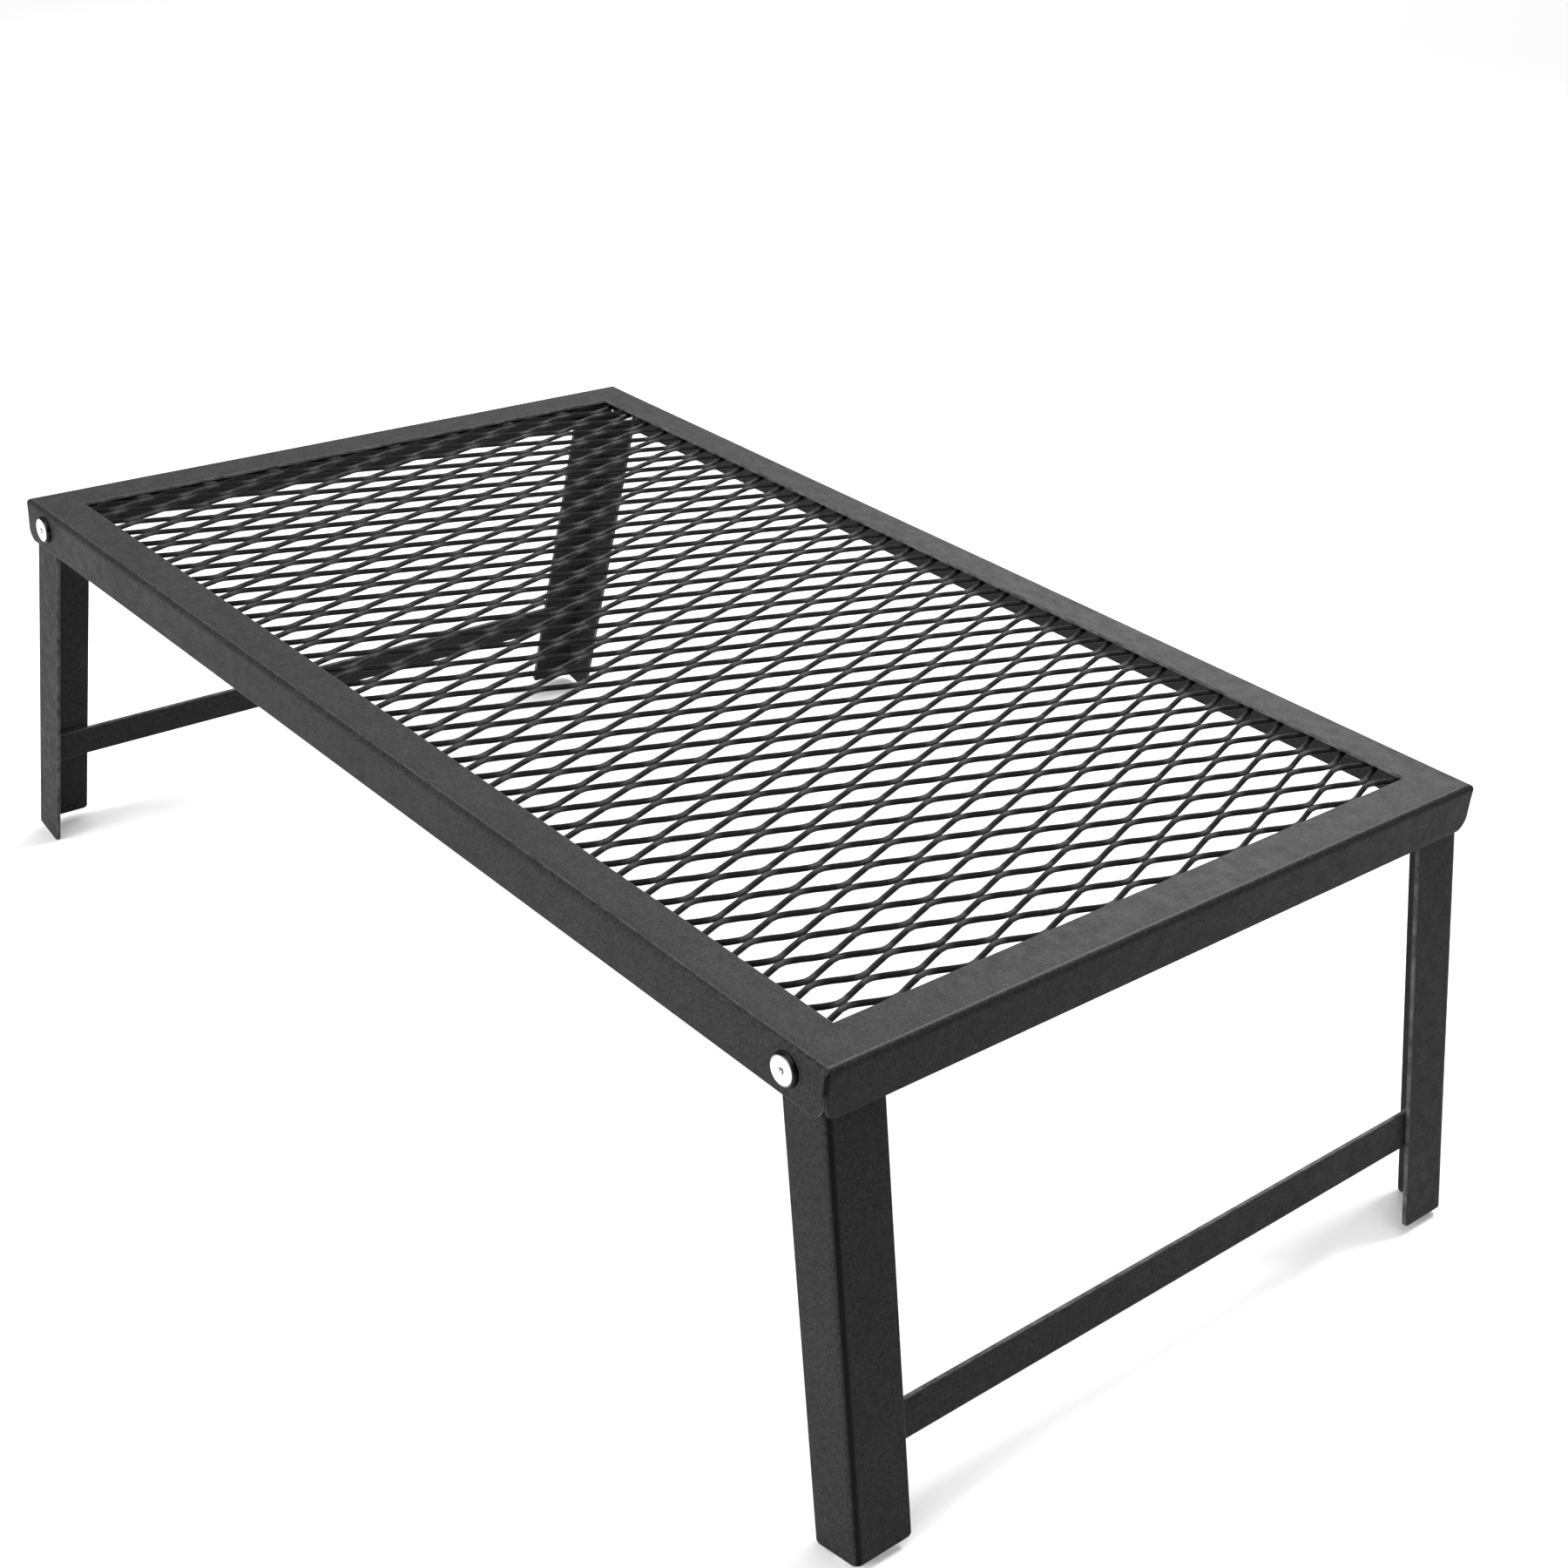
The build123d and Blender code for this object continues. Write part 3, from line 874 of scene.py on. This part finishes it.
@dataclass
class Pivot:
    """One rivet through the skirt and the leg, with its two washers.

    Attributes:
        end: Which end of the grill.
        side: Which long side.
        place: Centre of the pivot on the outer face of the skirt.
        frame_sheet: Thickness of the skirt.
        leg_sheet: Thickness of the leg.
        play: Gap on each side of the leg.
        spacer: Thickness of the washer between skirt and leg.
        tail_washer: Thickness of the washer under the tail.
        shank_radius: Radius of the rivet's shank.
        head_radius: Radius of its head.
        head_height: Height of its head.
        flat_radius: Radius of the bright flat on the head.
        dimple_radius: Radius of the setting mark in the flat.
        dimple_depth: Depth of that mark.
        tail_radius: Radius of the set tail.
        tail_height: Height of the set tail.
        washer_radius: Outer radius of both washers.
    """

    end: End
    side: Side
    place: Vector
    frame_sheet: float = 1.5 * MM
    leg_sheet: float = 2.0 * MM
    play: float = 0.05 * MM
    spacer: float = 1.0 * MM
    tail_washer: float = 1.0 * MM
    shank_radius: float = 3.0 * MM
    head_radius: float = 6.3 * MM
    head_height: float = 2.0 * MM
    flat_radius: float = 5.0 * MM
    dimple_radius: float = 1.5 * MM
    dimple_depth: float = 0.7 * MM
    tail_radius: float = 4.8 * MM
    tail_height: float = 2.0 * MM
    washer_radius: float = 6.0 * MM

    def rivet(self) -> Skin:
        """Rivet along Z, its head above the outer face at z = 0 and its tail below.

        The profile is the bottom of the dimple, a rounded flat, a quarter-ellipse rim, the shank, and a
        domed tail, turned about the axis.

        Returns:
            The closed skin.
        """
        a = np.linspace(0, pi / 2, 7)
        dip = np.linspace(0, 1, 6)
        head_r, head_h = self.head_radius, self.head_height
        rim = head_r - self.flat_radius
        inside = -(self.frame_sheet + self.spacer + self.leg_sheet + 2 * self.play + self.tail_washer)
        tail = np.linspace(0, pi / 2, 7)
        # third values: painted shade in the dimple and round the rim of the head
        profile = [
            (dip * self.dimple_radius, head_h - self.dimple_depth * np.cos(dip * pi / 2) ** 1.5,
             0.85 * (1 - dip**4)),
            ([self.dimple_radius + 0.25 * MM, self.flat_radius - 0.9 * MM, self.flat_radius - 0.5 * MM],
             [head_h] * 3, [0, 0, 0]),
            (self.flat_radius + rim * np.sin(a), head_h * 0.06 + head_h * 0.94 * np.cos(a) ** 0.8,
             np.minimum(3.5 * np.sin(a), 1)),
            ([head_r, self.shank_radius, self.shank_radius], [0, 0, inside], [1, 0, 0]),
            ([self.tail_radius - 0.1 * MM], [inside], [0]),
            (self.tail_radius * np.cos(tail * 0.999), inside - 0.25 * MM
             - (self.tail_height - 0.25 * MM) * np.sin(tail), 0 * tail),
        ]
        radius, height, wear = (np.concatenate([np.asarray(part[i], float) for part in profile])
                                for i in range(3))
        radius[0], radius[-1] = 0.0, 0.0
        return turned(radius, height, wear)

    def washer(self, outer: float, sheet: float) -> Skin:
        """Stamped washer along -Z from the given depth, with one edge rolled over by the punch.

        Args:
            outer: Depth of its outer face behind the skirt's outer face.
            sheet: Its thickness.

        Returns:
            The closed skin.
        """
        bore, rim, roll = self.shank_radius + 0.1 * MM, self.washer_radius, 0.22 * MM
        radius = np.array([bore, rim - roll, rim - 0.3 * roll, rim, rim, rim - 0.3 * roll, bore])
        height = -outer - np.array([0, 0, 0.3 * roll, roll, sheet - 0.3 * roll, sheet, sheet])
        return ring_turned(radius, height, np.array([0, 0.2, 0.4, 0.4, 0.2, 0, 0]))

    def build(self, bright: Finish, zinc: Finish) -> None:
        """Make the rivet and the washers.

        Args:
            bright: Finish of the rivet.
            zinc: Finish of the washers.
        """
        name = f"{self.end.name.lower()}_{self.side.name.lower()}"
        turn = Matrix.Rotation(radians(90), 4, "X")
        if self.side is Side.REAR:
            turn = Matrix.Rotation(pi, 4, "Z") @ turn
        put = Matrix.Translation(self.place) @ turn
        behind = self.frame_sheet + self.spacer + self.leg_sheet + 2 * self.play
        plan = (
            ("rivet", self.rivet(), bright, "bright_rivet"),
            ("spacer_washer", self.washer(self.frame_sheet, self.spacer), zinc, "zinc_washer"),
            ("tail_washer", self.washer(behind, self.tail_washer), zinc, "zinc_washer"),
        )
        for part, skin, finish, slot in plan:
            piece(f"{name}_{part}_turned", skin.moved(put), finish, "frame", slot, f"{name}_{part}")


@dataclass
class LegSet:
    """Two angle legs and the flat crossbar welded between them, standing against their stop.

    Attributes:
        end: Which end of the grill.
        pivot: The hinge's place, on the middle plane.
        half_width: From the middle plane to the outer faces of the legs.
        splay: Angle of the open leg to the vertical.
        section: Section of a leg, side flange first, as seen from above.
        face: Pivot to the outer face of the end flange.
        length: Pivot to foot.
        shoulder: Rounding of the top outer corner.
        corner: Rounding of the free corners.
        bar_width: Width of the crossbar.
        bar_sheet: Thickness of the crossbar.
        bar_drop: Pivot to the middle of the crossbar.
        bar_gap: Outer face of a leg to the end of the bar.
        bead: Radius of the crossbar's welds.
        bead_margin: End of a weld to the free edge of the leg.
        dent: Depth of the slow waves in a leg.
        bar_dent: Depth of those in the crossbar.
    """

    end: End
    pivot: Vector
    half_width: float
    splay: float
    section: AngleSection
    face: float
    length: float = 186.0 * MM
    shoulder: float = 9.0 * MM
    corner: float = 2.0 * MM
    bar_width: float = 16.0 * MM
    bar_sheet: float = 2.0 * MM
    bar_drop: float = 140.0 * MM
    bar_gap: float = 6.0 * MM
    bead: float = 1.8 * MM
    bead_margin: float = 2.0 * MM
    dent: float = 0.08 * MM
    bar_dent: float = 0.12 * MM

    def leg(self, seed: int) -> Skin:
        """Front right leg, upright about the pivot, its outer side face at y = 0.

        Along the section each point runs from its own top to its own foot: a quarter circle and a
        shoulder over the rivet, a step down at the bend, and rounded free corners. With u from 0 to 1,
        the height is top + u (foot - top), and the slow waves of the sheet draw it in by up to the dent.

        Args:
            seed: Seed of the slow waves.

        Returns:
            The closed skin.
        """
        sec, lip = self.section, self.section.lip
        back = sec.across - self.face
        edge = edge_marks(lip)
        quarter = back * (1 - np.cos(np.linspace(0.25, pi / 2, 9)))
        straight = back + (self.face - sec.bend - self.shoulder)
        arc = straight + self.shoulder * np.sin(np.linspace(0, pi / 2, 9))
        flange_flat = sec.across - sec.bend
        arc = np.minimum(arc, flange_flat - 0.5 * MM)
        ends = [flange_flat - 0.25 * MM, flange_flat]
        first = np.unique(np.round(np.concatenate([edge, quarter, arc, ends]), 7))
        rounds = self.corner * (1 - np.cos(np.linspace(0.3, pi / 2, 6)))
        across = np.linspace(0.2, 0.95, 5) * (sec.down - sec.bend)
        second = np.unique(np.round(np.concatenate([edge, rounds, across]), 7))
        points, normals, free = sec.marks(first, second)
        p, q = points[:, 0], points[:, 1]
        x = self.face - p
        on_side = p > sec.bend + 0.3 * MM
        inner_arc = np.sqrt(np.maximum(back**2 - np.minimum(x, 0) ** 2, 0))
        past = np.clip(x - (self.face - sec.bend - self.shoulder), 0, self.shoulder)
        shoulder = np.where(past > 0, back - self.shoulder + np.sqrt(self.shoulder**2 - past**2), inner_arc)
        end_top = -(back + sec.bend)
        far = np.clip(self.corner - (q + sec.down), 0, self.corner)
        round_end = self.corner - np.sqrt(self.corner**2 - far**2)
        high = np.where(on_side, shoulder, end_top - round_end)
        inner = np.clip(self.corner - (sec.across - p), 0, self.corner)
        round_side = self.corner - np.sqrt(self.corner**2 - inner**2)
        low = -self.length + np.where(on_side, round_side, round_end)
        near = np.append(edge, [1.2 * MM, 2.5 * MM, 5 * MM])
        share = np.linspace(0, 1, 24)[1:-1, None]
        upper = high[None, :] - near[:, None]
        lower = low[None, :] + near[::-1, None]
        height = np.concatenate([upper, upper[-1] + share * (lower[0] - upper[-1]), lower])
        cut = np.minimum(high[None, :] - height, height - low[None, :])
        drop = lip_drop(np.minimum(np.broadcast_to(free, cut.shape), cut), lip)
        rng = np.random.default_rng(seed)
        wave = 0.5 + 0.5 * np.sin(6 * height / self.length + rng.uniform(0, 2 * pi))
        dent = self.dent * wave * np.clip(free / (12 * MM), 0, 1)
        faces = []
        for depth, sign in ((0.0, 1), (sec.sheet, -1)):
            profile = points[None] - normals[None] * (depth + sign * drop + dent)[..., None]
            faces.append(np.stack([self.face - profile[..., 0], -profile[..., 1], height], -1))
        # painted highlight and painted shade along the bend, rubbed free edges and cut ends
        bend = sec.bend_painted_light(normals)[None, :]
        rub_and_painted_light = rubbed(np.minimum(np.broadcast_to(free, cut.shape), cut), 2.4 * lip)
        rub_and_painted_light = np.where(bend < 0, bend, np.maximum(rub_and_painted_light, 0.5 * bend))
        return plate(faces[0], faces[1], rub_and_painted_light)

    def crossbar(self) -> Skin:
        """Flat bar along Y with rounded cut edges, its outer face on the legs' inner faces.

        Returns:
            The closed skin.
        """
        lip = 0.4 * MM
        half = self.half_width - self.bar_gap
        edge = edge_marks(lip)
        y = np.concatenate([-half + edge, np.linspace(-half + 4 * MM, half - 4 * MM, 30), half - edge[::-1]])
        width = self.bar_width / 2
        z = np.concatenate([-width + edge, np.linspace(-0.7, 0.7, 5) * width, width - edge[::-1]])
        far = np.minimum(half - np.abs(y)[:, None], width - np.abs(z)[None, :])
        drop = lip_drop(far, lip)
        dent = self.bar_dent * (0.5 + 0.5 * np.sin(11 * y[:, None] / half)) * np.clip(far / (5 * MM), 0, 1)
        outer_face = self.face - self.section.sheet
        faces = []
        for depth, sign in ((0.0, 1), (self.bar_sheet, -1)):
            x = outer_face - depth - sign * drop - dent * (np.abs(y)[:, None] < half - 30 * MM)
            faces.append(np.stack([x, np.broadcast_to(y[:, None], x.shape),
                                   np.broadcast_to(z[None, :], x.shape) - self.bar_drop], -1))
        return plate(faces[0], faces[1], rubbed(far, 2.4 * lip))

    def crossbar_welds(self) -> Skin:
        """Beads above and below each end of the bar, where it lies on the leg.

        Returns:
            The closed skin of the four beads.
        """
        flange_edge = self.half_width - self.section.down + self.bead_margin
        half = self.half_width - self.bar_gap
        length, middle = half - flange_edge, (half + flange_edge) / 2
        x = self.face - self.section.sheet
        beads = []
        for number, (sy, sz) in enumerate(((1, 1), (1, -1), (-1, 1), (-1, -1))):
            bead = weld_bead(length, self.bead, 91 + number + 10 * self.end.value, ripple=1.5 * MM)
            spot = Vector((x, sy * middle, -self.bar_drop + sz * self.bar_width / 2))
            beads.append(bead.moved(Matrix.Translation(spot) @ Matrix.Diagonal((-1, 1, -sz, 1))))
        return joined(beads)

    def build(self, coat: Finish, weld: Finish) -> None:
        """Make the legs, the crossbar and its welds, and swing them out to the stop.

        Args:
            coat: Finish of the legs and the crossbar.
            weld: Finish of the welds.
        """
        end = self.end.name.lower()
        body = f"{end}_leg_set"
        out = Matrix.Translation((abs(self.pivot.x), 0, self.pivot.z)) @ Matrix.Rotation(-self.splay, 4, "Y")
        put = Matrix.Diagonal((self.end.value, 1, 1, 1)) @ out
        for number, side in enumerate(Side):
            mirror = Matrix.Diagonal((1, -side.value, 1, 1))
            leg = self.leg(71 + number + 2 * self.end.value)
            placed = leg.moved(Matrix.Translation((0, -self.half_width, 0))).moved(mirror).moved(put)
            name = f"{end}_{side.name.lower()}_leg"
            piece(f"{name}_formed", placed, coat, body, "leg_steel", name)
        piece(f"{end}_crossbar_flat", self.crossbar().moved(put), coat, body, "leg_steel", f"{end}_crossbar")
        piece(f"{end}_crossbar_welds_laid", self.crossbar_welds().moved(put), weld, body, "painted_weld",
              f"{end}_crossbar_welds")


@dataclass(frozen=True)
class SoftBox:
    """A rectangular soft light that faces a point.

    Attributes:
        name: Name of the light.
        place: Where it hangs.
        size: Width and height.
        power: Watts.
    """

    name: str
    place: Triple
    size: tuple[float, float]
    power: float

    def hang(self, target: Vector) -> None:
        """Hang the light and turn it to the target.

        Args:
            target: The point that it faces.
        """
        light = bpy.data.lights.new(self.name, "AREA")
        light.shape, light.size, light.size_y = "RECTANGLE", *self.size
        light.energy = self.power
        lamp = bpy.data.objects.new(self.name, light)
        lamp.location = self.place
        lamp.rotation_euler = (target - Vector(self.place)).to_track_quat("-Z", "Y").to_euler()
        bpy.context.scene.collection.objects.link(lamp)


@dataclass
class Studio:
    """Pale floor, soft light and the camera.

    Attributes:
        azimuth: Of the line of sight, 0 looking along +Y and 90 along -X, in degrees.
        elevation: Of the camera above the horizon, in degrees.
        roll: Turn about the line of sight, in degrees.
        place: Where the camera stands.
        lens: Focal length in millimetres on a 36 mm sensor.
        shift: Shift of the lens, as shares of the sensor.
        floor_tint: Colour of the floor.
        sky: Strength of the even light all round.
        boxes: The soft lights on the object.
        wash: The soft light on the floor behind it.
    """

    azimuth: float = 47.788
    elevation: float = 30.469
    roll: float = 4.181
    place: Triple = (0.6892, -0.5725, 0.5886)
    lens: float = 51.487
    shift: tuple[float, float] = (0.015, 0.070)
    floor_tint: Triple = (0.60, 0.60, 0.60)
    sky: float = 0.26
    boxes: tuple[SoftBox, ...] = (
        SoftBox("key_front", (-0.2, -2.4, 1.0), (1.6, 1.2), 118.0),
        SoftBox("overhead", (0.3, -0.2, 2.4), (2.4, 2.4), 48.0),
        SoftBox("sheen_back_left", (-1.0, 1.75, 1.4), (1.0, 0.8), 16.0),
        SoftBox("rim_back_right", (0.15, 1.25, 1.75), (0.55, 0.35), 46.0),
    )
    wash: SoftBox = SoftBox("background_wash", (-3.6, 4.2, 3.2), (7.0, 7.0), 370.0)

    def build(self) -> None:
        """Lay the floor, hang the lights and set the camera."""
        self.lay_floor()
        world = bpy.data.worlds.new("studio_air")
        world.use_nodes = True
        air = world.node_tree.nodes["Background"]
        air.inputs["Color"].default_value = (1.0, 1.0, 1.0, 1.0)
        air.inputs["Strength"].default_value = self.sky
        bpy.context.scene.world = world
        target = Vector((0, 0, 0.1))
        for box in self.boxes:
            box.hang(target)
        self.wash.hang(Vector((self.wash.place[0], self.wash.place[1], 0)))
        bpy.context.scene.view_settings.view_transform = "Standard"
        self.set_camera()

    def lay_floor(self) -> None:
        """A wide level sheet with a faint grain of its own."""
        half, steps = 20.0, 9
        line = np.linspace(-half, half, steps)
        x, y = np.meshgrid(line, line, indexing="ij")
        points = np.stack([x, y, np.zeros_like(x)], -1).reshape(-1, 3)
        mesh = bpy.data.meshes.new("studio_floor")
        mesh.from_pydata(points.tolist(), [], grid_quads(steps, steps).tolist())
        s = Shader("pale_floor")
        s.link(s.blend(s.noise(3, 2.0), self.floor_tint, tuple(0.99 * c for c in self.floor_tint)),
               s.surface.inputs["Base Color"])
        s.surface.inputs["Roughness"].default_value = 0.9
        s.surface.inputs["Specular IOR Level"].default_value = 0.0
        mesh.materials.append(s.material)
        floor = bpy.data.objects.new("studio_floor", mesh)
        bpy.context.scene.collection.objects.link(floor)

    def set_camera(self) -> None:
        """Stand the camera at its place and turn it by azimuth, elevation and roll."""
        a, e = radians(self.azimuth), radians(self.elevation)
        back = Vector((sin(a) * cos(e), -cos(a) * cos(e), sin(e)))
        camera = bpy.data.cameras.new("camera")
        camera.sensor_width = 36.0
        camera.lens = self.lens
        camera.shift_x, camera.shift_y = self.shift
        camera.clip_start, camera.clip_end = 0.05, 50.0
        stand = bpy.data.objects.new("camera", camera)
        stand.rotation_mode = "QUATERNION"
        level = (-back).to_track_quat("-Z", "Y")
        stand.rotation_quaternion = level @ Matrix.Rotation(radians(self.roll), 3, "Z").to_quaternion()
        stand.location = self.place
        bpy.context.scene.collection.objects.link(stand)
        bpy.context.scene.camera = stand


def main() -> None:
    """Build the studio and every sub-assembly, and report each piece."""
    logging.basicConfig(level=logging.INFO, format="%(name)s: %(message)s")
    Studio().build()
    coat = PowderCoat("black_powder_coat").build()
    leg_coat = PowderCoat("black_powder_coat_legs", smooth=0.42, rough=0.6).build()
    grate_coat = PowderCoat("black_grate_coat", (0.003, 0.003, 0.0031), (0.006, 0.006, 0.0061), smooth=0.4,
                            rough=0.56, gloss=0.05, grain=0.2).build()
    weld_coat = PowderCoat("coated_weld", smooth=0.34, rough=0.5, peel=0.4).build()
    bright = BrightSteel("bright_plated_steel").build()
    zinc = BrightSteel("zinc_plated_steel", (0.56, 0.57, 0.60), (0.36, 0.37, 0.38), 0.34, 0.55).build()

    rail_low, rail_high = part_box("front_long_rail")
    side_low, side_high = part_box("right_end_rail")
    length, width = rail_high.x - rail_low.x, side_high.y - side_low.y
    top = rail_high.z
    rails = AngleSection(rail_high.y - rail_low.y, rail_high.z - rail_low.z, sheet=1.5 * MM, bend=3.0 * MM)
    TopFrame(length, width, top, rails).build(coat, weld_coat)

    grate_low, grate_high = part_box("mesh_panel")
    Grate(grate_high.x - grate_low.x, grate_high.y - grate_low.y, grate_high.z,
          depth=grate_high.z - grate_low.z).build(grate_coat, weld_coat)

    hinges = {joint["name"]: Vector(joint["pos_m"]) for joint in frame["joints"]}
    splay, pivot_drop, play = radians(12.0), 9.5 * MM, Pivot.play
    leg_outer = rails.sheet + Pivot.spacer + play
    legs = AngleSection(across=21.0 * MM, down=26.0 * MM, sheet=2.0 * MM, bend=3.0 * MM)
    for end in End:
        pivot = hinges[f"{end.name.lower()}_leg_fold"]
        from_skirt = length / 2 - abs(pivot.x) - rails.sheet
        face = from_skirt * cos(splay) - (rails.down - pivot_drop) * sin(splay) - play
        for side in Side:
            place = Vector((pivot.x, side.value * width / 2, pivot.z))
            Pivot(end, side, place).build(bright, zinc)
        LegSet(end, pivot, width / 2 - leg_outer, splay, legs, face).build(leg_coat, weld_coat)


if __name__ == "__main__":
    main()
